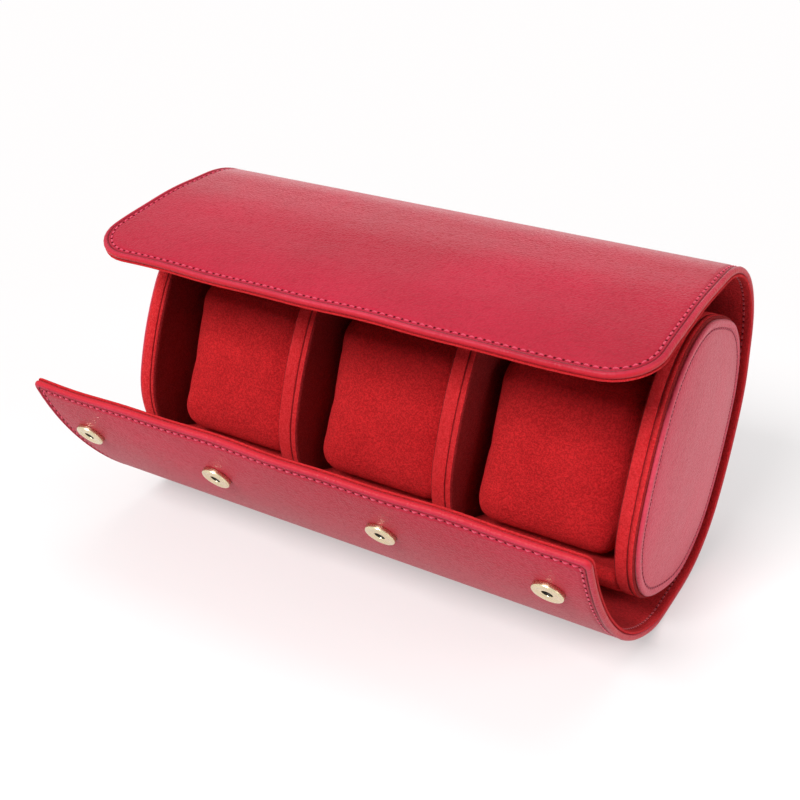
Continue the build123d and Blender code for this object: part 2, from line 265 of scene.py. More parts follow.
def group(name, inputs, outputs):
    """A node group's tree with its sockets, and its input and output nodes."""
    tree = bpy.data.node_groups.new(name, "ShaderNodeTree")
    for label, kind, value in inputs:
        socket = tree.interface.new_socket(label, in_out="INPUT", socket_type=kind)
        if value is not None:
            socket.default_value = value
    for label, kind in outputs:
        tree.interface.new_socket(label, in_out="OUTPUT", socket_type=kind)
    return tree, tree.nodes.new("NodeGroupInput"), tree.nodes.new("NodeGroupOutput")


class Nodes:
    """Shorthand for placing and joining nodes in one tree."""

    def __init__(self, tree):
        self.tree = tree

    def add(self, kind, values=None, **settings):
        node = self.tree.nodes.new(kind)
        for key, value in settings.items():
            setattr(node, key, value)
        for key, value in (values or {}).items():
            if isinstance(value, bpy.types.NodeSocket):
                self.tree.links.new(value, node.inputs[key])
            else:
                node.inputs[key].default_value = value
        return node

    def math(self, operation, a, b=0.0, clamp=False):
        return self.add("ShaderNodeMath", {0: a, 1: b}, operation=operation, use_clamp=clamp).outputs[0]

    def mix(self, factor, a, b):
        return self.add("ShaderNodeMix", {0: factor, 6: a, 7: b}, data_type="RGBA").outputs[2]

    def noise(self, place, scale, detail, roughness, distortion=0.0):
        values = {"Vector": place, "Scale": scale, "Detail": detail, "Roughness": roughness}
        return self.add("ShaderNodeTexNoise", {**values, "Distortion": distortion}).outputs[0]

    def spread(self, value, low, high, to_low=0.0, to_high=1.0):
        """The value's range from low to high, spread over another range and held at its ends."""
        node = self.add("ShaderNodeMapRange", {0: value, 1: low, 2: high, 3: to_low, 4: to_high})
        return node.outputs[0]


VECTOR, FLOAT = "NodeSocketVector", "NodeSocketFloat"
LEATHER_SCALE = 1300.0          # grains to the metre
SUEDE_SCALE = 1800.0            # fibres to the metre
PRESSED_AT = 1.98               # millimetres from the sewn edge


def leather_group():
    """Pebbled grain with pores, broad unevenness and faint creases of finished leather."""
    tree, given, put = group(
        "leather_grain",
        [("Vector", VECTOR, None), ("Grain", FLOAT, LEATHER_SCALE)],
        [("Height", FLOAT), ("Pores", FLOAT), ("Cloud", FLOAT), ("Creases", FLOAT)],
    )
    n = Nodes(tree)
    place, grain = given.outputs["Vector"], given.outputs["Grain"]
    cells = n.add("ShaderNodeTexVoronoi", {"Vector": place, "Scale": grain, "Randomness": 0.95},
                  feature="SMOOTH_F1")
    fine = n.noise(place, n.math("MULTIPLY", grain, 1.7), 4.0, 0.6)
    broad = n.noise(place, n.math("MULTIPLY", grain, 0.12), 3.0, 0.5)
    cloud = n.noise(place, n.math("MULTIPLY", grain, 0.012), 4.0, 0.55)
    folds = n.noise(place, n.math("MULTIPLY", grain, 0.03), 3.0, 0.5, distortion=1.6)
    bumps = n.spread(cells.outputs["Distance"], 0.0, 0.75, 1.0, 0.0)
    height = n.math("ADD", n.math("MULTIPLY", bumps, 0.6), n.math("MULTIPLY", fine, 0.55))
    height = n.math("ADD", height, n.math("MULTIPLY", broad, 1.1))
    crease = n.math("ABSOLUTE", n.math("SUBTRACT", folds, 0.5))
    tree.links.new(height, put.inputs["Height"])
    tree.links.new(n.spread(cells.outputs["Distance"], 0.35, 0.8), put.inputs["Pores"])
    tree.links.new(n.spread(cloud, 0.3, 0.7), put.inputs["Cloud"])
    tree.links.new(n.spread(crease, 0.0, 0.02, 1.0, 0.0), put.inputs["Creases"])
    return tree


def suede_group():
    """Short pile: fibres in tufts, and patches stroked light and dark."""
    tree, given, put = group(
        "suede_pile",
        [("Vector", VECTOR, None), ("Pile", FLOAT, SUEDE_SCALE)],
        [("Height", FLOAT), ("Nap", FLOAT), ("Stroke", FLOAT)],
    )
    n = Nodes(tree)
    place, pile = given.outputs["Vector"], given.outputs["Pile"]
    coarse = n.math("MULTIPLY", pile, 0.25)
    bend = n.add("ShaderNodeTexNoise", {"Vector": place, "Scale": coarse, "Detail": 2.0})
    shifted = n.add("ShaderNodeVectorMath", {0: bend.outputs["Color"], "Scale": 0.0012}, operation="SCALE")
    moved = n.add("ShaderNodeVectorMath", {0: place, 1: shifted.outputs[0]}, operation="ADD").outputs[0]
    fibres = n.noise(moved, pile, 5.0, 0.75)
    tufts = n.noise(moved, n.math("MULTIPLY", pile, 0.5), 3.0, 0.6)
    patches = n.noise(place, n.math("MULTIPLY", pile, 0.035), 3.0, 0.5, distortion=0.6)
    height = n.math("ADD", fibres, n.math("MULTIPLY", tufts, 0.6))
    nap = n.math("ADD", n.math("MULTIPLY", fibres, 0.65), n.math("MULTIPLY", tufts, 0.35))
    tree.links.new(height, put.inputs["Height"])
    tree.links.new(n.spread(nap, 0.44, 0.56), put.inputs["Nap"])
    tree.links.new(n.spread(patches, 0.35, 0.65), put.inputs["Stroke"])
    return tree


def edge_group():
    """Masks by the distance from the sewn edge: the pressed line, the rolled edge and the edge's side."""
    tree, given, put = group("sewn_edge", [("Edge", FLOAT, 20.0)],
                             [("Pressed", FLOAT), ("Rolled", FLOAT), ("Side", FLOAT)])
    n = Nodes(tree)
    edge = given.outputs["Edge"]
    away = n.math("ABSOLUTE", n.math("SUBTRACT", edge, PRESSED_AT))
    tree.links.new(n.spread(away, 0.08, 0.42, 1.0, 0.0), put.inputs["Pressed"])
    tree.links.new(n.spread(edge, 0.9, 1.6, 1.0, 0.0), put.inputs["Rolled"])
    tree.links.new(n.spread(edge, 0.1, 0.55, 1.0, 0.0), put.inputs["Side"])
    return tree


LEATHER_GRAIN = leather_group()
SEWN_EDGE = edge_group()
SUEDE_PILE = suede_group()


def start_material(name):
    """A new material, shorthand for its tree, and its shader."""
    material = bpy.data.materials.new(name)
    material.use_nodes = True
    tree = material.node_tree
    return material, Nodes(tree), tree.nodes["Principled BSDF"]


def fixed(shader, **values):
    """Sets the shader's sockets to values that are the same all over."""
    for key, value in values.items():
        shader.inputs[key.replace("_", " ")].default_value = value


def feed(n, shader, **sources):
    """Joins the shader's sockets to values that change over the surface."""
    for key, source in sources.items():
        n.tree.links.new(source, shader.inputs[key.replace("_", " ")])


def object_place(n):
    return n.add("ShaderNodeTexCoord").outputs["Object"]


def coordinates(n, by_cloth):
    """The wrap's place on its flat cloth, or the place in the object."""
    return n.add("ShaderNodeUVMap", uv_map="cloth").outputs[0] if by_cloth else object_place(n)


# the rolled edge's lighter colour is wear in patches and a painted highlight
WORN_AND_HIGHLIGHT_EDGE = (0.60, 0.06, 0.10, 1)
EDGE_SIDE = (0.42, 0.009, 0.018, 1)
# painted shade: the pressed line's furrow is darkened in colour
PRESSED_LINE_SHADE = (0.10, 0.002, 0.006, 1)


def sewn_edge(n):
    distance = n.add("ShaderNodeAttribute", attribute_name="edge").outputs["Fac"]
    return n.add("ShaderNodeGroup", {"Edge": distance}, node_tree=SEWN_EDGE)


def leather(name, light, dark, roughness, by_cloth=True, creases=0.0, sheen=0.03):
    material, n, shader = start_material(name)
    look = n.add("ShaderNodeGroup", {"Vector": coordinates(n, by_cloth)}, node_tree=LEATHER_GRAIN)
    colour = n.mix(look.outputs["Cloud"], (*dark, 1), (*light, 1))
    # darker pores are grain tone; the same colour darkens the creases as painted shade
    pore_and_crease_shade_colour = (dark[0] * 0.55, dark[1] * 0.4, dark[2] * 0.45, 1)
    colour = n.mix(n.math("MULTIPLY", look.outputs["Pores"], 0.3), colour, pore_and_crease_shade_colour)
    # painted shade: the creases are darkened in colour as well as sunk
    if creases:
        colour = n.mix(n.math("MULTIPLY", look.outputs["Creases"], creases), colour, pore_and_crease_shade_colour)
    if by_cloth:
        edge = sewn_edge(n)
        # wear and painted highlight: the rolled edge is lighter, in patches
        wear_and_highlight = n.math("MULTIPLY", edge.outputs["Rolled"], n.math("MULTIPLY", look.outputs["Cloud"], 0.3))
        colour = n.mix(wear_and_highlight, colour, WORN_AND_HIGHLIGHT_EDGE)
        colour = n.mix(n.math("MULTIPLY", edge.outputs["Side"], 0.85), colour, EDGE_SIDE)
        # painted shade in the pressed line's furrow
        colour = n.mix(n.math("MULTIPLY", edge.outputs["Pressed"], 0.8), colour, PRESSED_LINE_SHADE)
    uneven = n.math("ADD", n.math("MULTIPLY", look.outputs["Cloud"], 0.08), roughness)
    sunk = n.math("MULTIPLY", look.outputs["Creases"], creases)
    height = n.math("SUBTRACT", look.outputs["Height"], sunk)
    raised = n.add("ShaderNodeBump", {"Height": height, "Strength": 0.42, "Distance": 0.0006})
    feed(n, shader, Base_Color=colour, Normal=raised.outputs[0],
         Roughness=n.math("ADD", uneven, n.math("MULTIPLY", look.outputs["Pores"], 0.12)))
    fixed(shader, Specular_IOR_Level=0.18, Sheen_Weight=sheen, Sheen_Roughness=0.4)
    return material


def suede(name, light, dark, by_cloth=False):
    material, n, shader = start_material(name)
    look = n.add("ShaderNodeGroup", {"Vector": coordinates(n, by_cloth)}, node_tree=SUEDE_PILE)
    nap, stroke = look.outputs["Nap"], look.outputs["Stroke"]
    tone = n.math("ADD", n.math("MULTIPLY", nap, 0.75), n.math("MULTIPLY", stroke, 0.25))
    bump = {"Height": look.outputs["Height"], "Strength": 1.0, "Distance": 0.0016}
    raised = n.add("ShaderNodeBump", bump)
    colour = n.mix(tone, (*dark, 1), (*light, 1))
    if by_cloth:
        # painted highlight: the lining is lighter along its rolled edge
        colour = n.mix(n.math("MULTIPLY", sewn_edge(n).outputs["Rolled"], 0.6), colour, (*light, 1))
    feed(n, shader, Base_Color=colour, Normal=raised.outputs[0], Roughness=n.spread(nap, 0.0, 1.0, 0.95, 0.8))
    fixed(shader, Specular_IOR_Level=0.15, Sheen_Weight=0.12, Sheen_Roughness=0.5)
    fixed(shader, Sheen_Tint=(1.0, 0.15, 0.13, 1))
    return material


def thread_material(name, light, dark):
    material, n, shader = start_material(name)
    strands = {"Vector": object_place(n), "Scale": 900.0, "Distortion": 2.0, "Detail": 1.0}
    twist = n.add("ShaderNodeTexWave", strands)
    raised = n.add("ShaderNodeBump", {"Height": twist.outputs[0], "Strength": 0.3, "Distance": 0.0002})
    feed(n, shader, Base_Color=n.mix(twist.outputs[0], (*dark, 1), (*light, 1)), Normal=raised.outputs[0])
    fixed(shader, Roughness=0.6, Sheen_Weight=0.3)
    return material


# painted shade: the needle holes' dark plugs stand for the shade inside the holes
def needle_hole_shade_material():
    material, n, shader = start_material("needle_hole_painted_shade")
    patches = n.noise(object_place(n), 800.0, 2.0, 0.5)
    feed(n, shader, Base_Color=n.mix(patches, (0.07, 0.002, 0.006, 1), (0.12, 0.004, 0.012, 1)))
    fixed(shader, Roughness=0.9, Specular_IOR_Level=0.1)
    return material


def metal(name, light, dark, roughness):
    material, n, shader = start_material(name)
    place = object_place(n)
    scratch = n.noise(place, 2600.0, 2.0, 0.5)
    raised = n.add("ShaderNodeBump", {"Height": scratch, "Strength": 0.08, "Distance": 0.0002})
    feed(n, shader, Base_Color=n.mix(n.noise(place, 260.0, 4.0, 0.5), (*dark, 1), (*light, 1)))
    uneven = n.spread(scratch, 0.3, 0.7, roughness - 0.06, roughness + 0.08)
    feed(n, shader, Roughness=uneven, Normal=raised.outputs[0])
    fixed(shader, Metallic=1.0)
    return material


# each with its light and its dark colour
WRAP_LEATHER = leather("wrap_leather", (0.395, 0.009, 0.033), (0.305, 0.005, 0.020), 0.38, creases=0.12)
# painted light and painted reflection: the caps' crimson leather is drawn lighter and pinker than the wrap's
CAP_LEATHER_PAINTED_LIGHT = leather("cap_leather", (0.53, 0.045, 0.080), (0.44, 0.028, 0.055), 0.40,
                      by_cloth=False, sheen=0.22)
SUEDE = suede("suede", (0.94, 0.024, 0.031), (0.58, 0.007, 0.012))
# painted light and shade: a lit copy of the suede for the walls' bands and a shaded copy for their side faces
WALL_BAND_PAINTED_LIGHT = suede("suede_band_painted_light", (1.0, 0.040, 0.050), (0.80, 0.014, 0.020))
WALL_SIDE_PAINTED_SHADE = suede("suede_side_painted_shade", (0.44, 0.016, 0.021), (0.27, 0.006, 0.009))
LINING = suede("suede_lining", (0.78, 0.020, 0.028), (0.46, 0.006, 0.011), by_cloth=True)
THREAD = thread_material("sewing_thread", (0.62, 0.02, 0.085), (0.40, 0.006, 0.035))
INNER_THREAD = thread_material("inner_thread", (0.56, 0.012, 0.03), (0.38, 0.004, 0.016))
CAP_THREAD = thread_material("cap_thread", (0.42, 0.010, 0.05), (0.28, 0.004, 0.03))
HOLE_SHADE = needle_hole_shade_material()
SNAP = metal("snap_plate", (0.80, 0.71, 0.50), (0.62, 0.51, 0.31), 0.24)
# the magnet's dark metal, made darker as painted shade in the socket's bore
MAGNET_AND_BORE_SHADE = metal("snap_core", (0.05, 0.045, 0.04), (0.02, 0.018, 0.015), 0.5)

# --- the wrap ----------------------------------------------------------------

INSET = 20.0                    # width of the rim round the sheets' even grid
COLUMNS = 44
ROW_STEP = 3.0
CORNER_STEPS, SEAM_CORNER_STEPS = 9, 12
ROWS = np.linspace(INSET, PATH_LENGTH - INSET, int(round((PATH_LENGTH - 2 * INSET) / ROW_STEP)) + 1)
# the free edges wave a little: height, turn per millimetre along the case and round it, and start
WAVES = ((0.35, 0.061, 0.0, 0.7), (0.22, 0.137, 0.01, 2.1))
WAVE_REACH = 14.0


def wrap_point(x, s, depth):
    """A point of the wrap: x along the case, s round it, depth under its outer face."""
    point, out = on_path(s)
    x, s, depth = np.broadcast_arrays(np.asarray(x, float), np.asarray(s, float), np.asarray(depth, float))
    edge = np.exp(-np.minimum(s, PATH_LENGTH - s) / WAVE_REACH)
    wave = sum(high * np.sin(x * along + s * around + start) * edge for high, along, around, start in WAVES)
    reach = wave - depth
    return np.stack([x, point[..., 0] + out[..., 0] * reach, point[..., 1] + out[..., 1] * reach], -1)


def cut_faces(faces):
    """One face for each open end that a cut has left."""
    edges = {(a, b) for face in faces for a, b in zip(face, face[1:] + face[:1])}
    ahead = {b: a for a, b in edges if (b, a) not in edges}
    ends = []
    while ahead:
        first, at = ahead.popitem()
        loop = [first]
        while at != first:
            loop.append(at)
            at = ahead.pop(at)
        ends.append(loop)
    return ends


def grid_key(x, s):
    """A place on the flat sheet, rounded so that equal places match."""
    return round(float(x), 4), round(float(s), 4)


def corner_run(inset, radius):
    """Offsets (along, across) round a sheet's corner, from its last column to the next side's first row."""
    r = radius * (1 - inset / INSET)
    size = INSET - inset
    straight = size - r
    run = [(straight * k / 3, 0.0) for k in range(3)]
    for k in range(CORNER_STEPS + 1):
        a = math.pi / 2 * k / CORNER_STEPS
        run.append((straight + r * math.sin(a), r - r * math.cos(a)))
    return run + [(size, r + straight * k / 3) for k in range(1, 4)]


class Sheet:
    """A closed sheet that covers the whole wrap, with a shaped rim and round corners."""

    def __init__(self, rim):
        # rim: (inset from the edge, depth) from the inner face round to the outer one
        self.xs = np.linspace(INSET - HALF_WRAP, HALF_WRAP - INSET, COLUMNS + 1)
        self.flat, self.depth, self.inset, self.faces = [], [], [], []
        loops = [self.add_loop(d, t) for d, t in rim]
        for a, b in zip(loops, loops[1:]):
            count = len(a)
            for i in range(count):
                j = (i + 1) % count
                self.face(a[i], a[j], b[j], b[i])
        self.add_grid(loops[0], rim[0][1], False)
        self.add_grid(loops[-1], rim[-1][1], True)
        self.flat, self.inset = np.array(self.flat), np.array(self.inset)
        self.points = wrap_point(self.flat[:, 0], self.flat[:, 1], np.array(self.depth))
        self.normals = vertex_normals(self.points, self.faces)

    def face(self, *corners):
        kept = [c for i, c in enumerate(corners) if c != corners[i - 1]]
        if len(kept) > 2:
            self.faces.append(kept)

    def add_point(self, x, s, depth, inset=INSET):
        self.flat.append((x, s))
        self.depth.append(depth)
        self.inset.append(inset)
        return len(self.flat) - 1

    def add_loop(self, inset, depth):
        """One loop of points round the sheet, at one distance from its edge."""
        x1, far = HALF_WRAP - INSET, PATH_LENGTH - inset
        lower, upper = corner_run(inset, LOWER_CORNER), corner_run(inset, UPPER_CORNER)
        # a corner's run goes from a column to a row, so it is taken backwards where the loop leaves a row
        points = [(x, inset) for x in self.xs[:-1]]
        points += [(x1 + along, inset + across) for along, across in lower[:-1]]
        points += [(HALF_WRAP - inset, s) for s in ROWS[:-1]]
        points += [(x1 + along, far - across) for along, across in upper[:0:-1]]
        points += [(x, far) for x in self.xs[:0:-1]]
        points += [(-x1 - along, far - across) for along, across in upper[:-1]]
        points += [(inset - HALF_WRAP, s) for s in ROWS[:0:-1]]
        points += [(-x1 - along, inset + across) for along, across in lower[:0:-1]]
        if inset < INSET:
            return [self.add_point(x, s, depth, inset) for x, s in points]
        seen, ids = {}, []
        for x, s in points:
            key = grid_key(x, s)
            if key not in seen:
                seen[key] = self.add_point(x, s, depth)
            ids.append(seen[key])
        return ids

    def add_grid(self, loop, depth, outer):
        """The even grid inside a loop, as quads that face outwards or inwards."""
        table = {grid_key(*self.flat[i]): i for i in set(loop)}
        ids = np.zeros((len(self.xs), len(ROWS)), int)
        for a, x in enumerate(self.xs):
            for b, s in enumerate(ROWS):
                key = grid_key(x, s)
                if key not in table:
                    table[key] = self.add_point(x, s, depth)
                ids[a, b] = table[key]
        for a in range(len(self.xs) - 1):
            for b in range(len(ROWS) - 1):
                quad = (ids[a, b], ids[a + 1, b], ids[a + 1, b + 1], ids[a, b + 1])
                self.face(*(quad if outer else quad[::-1]))

    def piece(self, name, low, high, material):
        """The faces between two runs round the wrap, as an object."""
        middle = np.array([self.flat[list(f), 1].mean() for f in self.faces])
        chosen = [f for f, m in zip(self.faces, middle) if low <= m < high]
        used = sorted({i for f in chosen for i in f})
        number = {i: k for k, i in enumerate(used)}
        faces = [[number[i] for i in f] for f in chosen]
        faces += cut_faces(faces)
        given = {"uv": self.flat[used], "normals": self.normals[used], "edge": self.inset[used]}
        return make(name, self.points[used], faces, [material], **given)


def run_at(point):
    """The run along the wrap nearest to a side-plane point."""
    return float(PATH_RUN[np.hypot(*(PATH - np.array(point)).T).argmin()])


def to_row(s):
    """The nearest row of the sheets' grid."""
    return float(ROWS[np.abs(ROWS - s).argmin()])


fold_run = {name: run_at(point) for name, point in FOLDS.items()}
FOOT_CUT = 14.0                 # cut under the case, behind the lower fold
# where the wrap is cut into pieces: before its first row, between its folds, and after its last row
CUTS = [
    -1.0,
    to_row((fold_run["lower_outer"] + fold_run["lower_inner"]) / 2),
    to_row(fold_run["lower_inner"] + FOOT_CUT),
    to_row((fold_run["upper_back"] + fold_run["upper_middle"]) / 2),
    to_row((fold_run["upper_middle"] + fold_run["upper_front"]) / 2),
    PATH_LENGTH + 1.0,
]
# (piece, first body, second body, fold between them, CAD bodies' layers that it stands for)
SPANS = (
    ("lower_edge", "lower_flap_outer", "lower_flap_inner", "lower_outer", ("lower_flap_outer",)),
    ("lower", "lower_flap_inner", "case", "lower_inner", ("lower_flap_inner",)),
    ("back", "case", "upper_flap_back", "upper_back", ("wrap_back",)),
    ("top", "upper_flap_back", "upper_flap_middle", "upper_middle", ("upper_flap_back",)),
    ("upper_edge", "upper_flap_middle", "upper_flap_front", "upper_front",
     ("upper_flap_middle", "upper_flap_front")),
)


def bend(obj, first, second, fold):
    """Bakes the piece's placement into its mesh."""
    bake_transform(obj)


# the sheets' rims, as insets from the edge and depths: a turned edge, a pressed line, and the seam's furrow
SEAM_DEPTH, LINING_SEAM_DEPTH = 0.38, 3.34
LEATHER_RIM = (
    (INSET, 2.42), (10.0, 2.42), (4.0, 2.42), (2.0, 2.42), (1.2, 2.5), (0.45, 2.3), (0.05, 1.75), (0.0, 1.15),
    (0.2, 0.5), (0.65, 0.1), (1.1, -0.06), (1.5, 0.04), (1.78, 0.4), (1.95, 0.62), (2.12, 0.4), (2.45, 0.14),
    (SEAM - 0.62, 0.30), (SEAM - 0.45, SEAM_DEPTH), (SEAM + 0.45, SEAM_DEPTH), (SEAM + 0.62, 0.28),
    (4.4, 0.08), (5.2, 0.0), (9.0, 0.0), (14.0, 0.0), (INSET, 0.0),
)
LINING_RIM = (
    (INSET, 3.55), (12.0, 3.55), (6.0, 3.55), (4.2, 3.52), (SEAM + 0.3, LINING_SEAM_DEPTH),
    (SEAM - 0.3, LINING_SEAM_DEPTH), (2.5, 3.56), (1.3, 3.66), (0.5, 3.6), (0.15, 3.3), (0.1, 2.95),
    (0.3, 2.6), (1.4, 2.45), (INSET, 2.45),
)

leather_sheet = Sheet(LEATHER_RIM)
lining_sheet = Sheet(LINING_RIM)


def seam_path(inset):
    """Points (x, s) evenly spaced by the stitch pitch, round the wrap's stitch line."""
    x1, far = HALF_WRAP - inset, PATH_LENGTH - inset
    low, up = max(LOWER_CORNER - inset, 0.6), UPPER_CORNER * (1 - inset / INSET)
    corners = ((x1 - low, inset + low, low, -90), (x1 - up, far - up, up, 0),
               (up - x1, far - up, up, 90), (low - x1, inset + low, low, 180))
    line = []
    for x, s, r, first in corners:
        for k in range(SEAM_CORNER_STEPS + 1):
            a = math.radians(first + 90 * k / SEAM_CORNER_STEPS)
            line.append((x + r * math.cos(a), s + r * math.sin(a)))
    return evenly(np.array(line), STITCH_PITCH, closed=True)[0]


THREAD_SIDES, THREAD_STEPS = 6, 5
THREAD_RADIUS, THREAD_TILT = 0.40, 0.06
THREAD_RISE, THREAD_SINK = 0.30, 0.18
HOLE_SIDES = 8
HOLE_BACK = 0.5                 # needle hole behind each stitch
HOLE_ACROSS, HOLE_ALONG = 0.48, 0.42
HOLE_MIDDLE, HOLE_RIM, HOLE_DEPTH = 0.13, 0.09, 0.25


def stitch_mesh(name, starts, ends, normals, thread):
    """Stitches from start to end points, each a short bowed thread with a needle hole behind it."""
    verts, faces, which = [], [], []
    for a, b, n in zip(starts, ends, normals):
        a, b, n = np.array(a), np.array(b), np.array(n)
        t = b - a
        length = np.linalg.norm(t)
        t = t / length
        w = np.cross(n, t)
        tilt = rng.uniform(-THREAD_TILT, THREAD_TILT) * length
        base = len(verts)
        for k in range(THREAD_STEPS + 1):
            f = k / THREAD_STEPS
            bow = math.sin(math.pi * f)
            c = a + t * length * f + n * (THREAD_RISE * bow - THREAD_SINK) + w * tilt * (f - 0.5)
            r = THREAD_RADIUS * (0.55 + 0.45 * bow)
            for q in range(THREAD_SIDES):
                turn = 2 * math.pi * q / THREAD_SIDES
                verts.append(c + w * (r * math.cos(turn)) + n * (r * 0.8 * math.sin(turn)))
        thread_faces = tube_faces(THREAD_STEPS + 1, THREAD_SIDES)
        faces += [tuple(base + i for i in face) for face in thread_faces]
        which += [0] * len(thread_faces)
        # the needle hole is a thin dark plug between this stitch and the last, its darkness painted shade in
        # the hole
        centre = a - t * HOLE_BACK
        base = len(verts)
        verts += [centre + n * HOLE_MIDDLE, centre - n * HOLE_DEPTH]
        for q in range(HOLE_SIDES):
            turn = 2 * math.pi * q / HOLE_SIDES
            across, along = HOLE_ACROSS * math.cos(turn), HOLE_ALONG * math.sin(turn)
            verts.append(centre + n * HOLE_RIM + w * across + t * along)
        for q in range(HOLE_SIDES):
            i, j = base + 2 + q, base + 2 + (q + 1) % HOLE_SIDES
            faces += [(base, i, j), (base + 1, j, i)]
            which += [1, 1]
    return make(name, verts, faces, [thread, HOLE_SHADE], face_material=which)


seam = seam_path(SEAM)
seam_next = np.roll(seam, -1, axis=0)


def wrap_stitches(name, low, high, depth, facing, thread):
    """The wrap's stitches between two runs, on its outer or inner face."""
    starts, ends, normals = [], [], []
    for (xa, sa), (xb, sb) in zip(seam, seam_next):
        if not low <= (sa + sb) / 2 < high:
            continue
        pa = wrap_point(xa + (xb - xa) * STITCH_GAP, sa + (sb - sa) * STITCH_GAP, depth)
        pb = wrap_point(xb - (xb - xa) * STITCH_GAP, sb - (sb - sa) * STITCH_GAP, depth)
        _, out = on_path((sa + sb) / 2)
        n = np.array((0.0, out[0], out[1])) * facing
        starts.append(pa)
        ends.append(pb)
        normals.append(n)
    return stitch_mesh(name, starts, ends, normals, thread)


for k, (label, first, second, fold, layers) in enumerate(SPANS):
    low, high = CUTS[k], CUTS[k + 1]
    outer = leather_sheet.piece(f"wrap_leather_{label}", low, high, WRAP_LEATHER)
    inner = lining_sheet.piece(f"wrap_lining_{label}", low, high, LINING)
    seam_out = wrap_stitches(f"wrap_stitches_{label}", low, high, SEAM_DEPTH, 1, THREAD)
    seam_in = wrap_stitches(f"lining_stitches_{label}", low, high, LINING_SEAM_DEPTH, -1, INNER_THREAD)
    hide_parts(*[f"{name}_leather" for name in layers], *[f"{name}_board" for name in layers])
    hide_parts(*[f"{name}_lining" for name in layers])
    for obj in (outer, inner, seam_out, seam_in):
        bend(obj, first, second, fold)

# --- walls, dividers and caps ------------------------------------------------


def outline(offset, per_corner=18, per_side=10):
    """The walls' outline in the side plane, grown by offset: a square with round corners and bowed sides."""
    a = SIDE_RADIUS - SECTION_DEPTH / 2
    b = SIDE_RADIUS - SECTION_HEIGHT / 2
    small, big = CORNER_RADIUS + offset, SIDE_RADIUS + offset
    cy, cz, side, top = CORNER_Y, CORNER_Z, SIDE_ANGLE, TOP_ANGLE
    corner = 90 - side - top
    # each arc's centre, radius, first angle, turn and count of points
    arcs = (
        (-a, 0, big, -side, 2 * side, per_side), (cy, cz, small, side, corner, per_corner),
        (0, -b, big, 90 - top, 2 * top, per_side), (-cy, cz, small, 90 + top, corner, per_corner),
        (a, 0, big, 180 - side, 2 * side, per_side), (-cy, -cz, small, 180 + side, corner, per_corner),
        (0, b, big, 270 - top, 2 * top, per_side), (cy, -cz, small, 270 + top, corner, per_corner),
    )
    points = []
    for y, z, r, first, turn, count in arcs:
        for k in range(count):
            t = math.radians(first + turn * k / count)
            points.append((y + r * math.cos(t), z + r * math.sin(t)))
    return place_all(np.array(points))


# offsets of the rings that close a board's two faces towards its middle
INNER_FACE, OUTER_FACE = (-33.0, -20.0, -8.0), (-14.0, -24.0, -33.0)


def stacked(name, rings, material, mirror=False):
    """A closed solid through rings (offset of the outline, x), its two faces closed towards the middle."""
    (_, first_x), (last, last_x) = rings[0], rings[-1]
    full = [(offset, first_x) for offset in INNER_FACE] + list(rings)
    full += [(offset, last_x) for offset in OUTER_FACE if offset < last]
    verts = [(-x if mirror else x, y, z) for offset, x in full for y, z in outline(offset)]
    obj = make(name, verts, tube_faces(len(full), len(outline(0))), [material])
    outward(obj)
    return obj


def wall_rings(x0, x1, sewn):
    """A padded suede board's rings: soft edges, and a seam round its edge band."""
    return [
        (-8.0, x0 + 0.15), (-3.0, x0 + 0.1), (-1.7, x0), (-0.85, x0 + 0.15), (-0.45, x0 + 0.6),
        (-0.3, x0 + 1.2), (-0.25, (x0 + sewn) / 2), (-0.3, sewn - 0.9), (-0.5, sewn - 0.35),
        (-1.1, sewn - 0.12), (-1.1, sewn + 0.12), (-0.5, sewn + 0.35), (-0.3, sewn + 0.8),
        (-0.3, (sewn + x1) / 2), (-0.35, x1 - 1.0), (-0.45, x1 - 0.6), (-0.85, x1 - 0.15), (-1.7, x1),
        (-3.0, x1 - 0.1), (-8.0, x1 - 0.15),
    ]


def wall_piece(name, x0, x1, sewn):
    """A suede-covered wall or divider between two places along the case, with its seam at a third."""
    obj = stacked(name, wall_rings(x0, x1, sewn), WALL_SIDE_PAINTED_SHADE)
    # painted light and shade: the front-facing edge bands take a lighter copy of the suede, and the side
    # faces a darker copy
    obj.data.materials.append(WALL_BAND_PAINTED_LIGHT)
    for face in obj.data.polygons:
        face.material_index = int(abs(face.normal.x) < 0.6)
    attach(obj, "case")
    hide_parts(f"{name}_suede", f"{name}_board")


wall_piece("end_wall_left", -111.0, -103.5, -105.6)
wall_piece("end_wall_right", 103.5, 111.0, 108.6)
wall_piece("divider_left", -39.4, -30.4, -33.2)
wall_piece("divider_right", 30.4, 39.4, 36.6)

CAP_STITCH = -4.85              # the cap's stitches: offset of the outline, and place along the case
CAP_FACE = 112.3
# rim, sewn furrow and padded dome
CAP_RINGS = (
    (-4.0, 110.8), (-2.6, 110.8), (-2.0, 110.9), (-1.6, 111.3), (-1.5, 111.7), (-1.75, 112.25), (-2.3, 112.6),
    (-3.0, 112.6), (-3.6, 112.52), (-4.1, 112.36), (-4.4, CAP_FACE), (-5.3, CAP_FACE), (-5.6, 112.38),
    (-6.3, 112.6), (-8.0, 112.9), (-11.0, 113.3), (-15.0, 113.75), (-24.0, 114.5), (-33.0, 114.9),
)


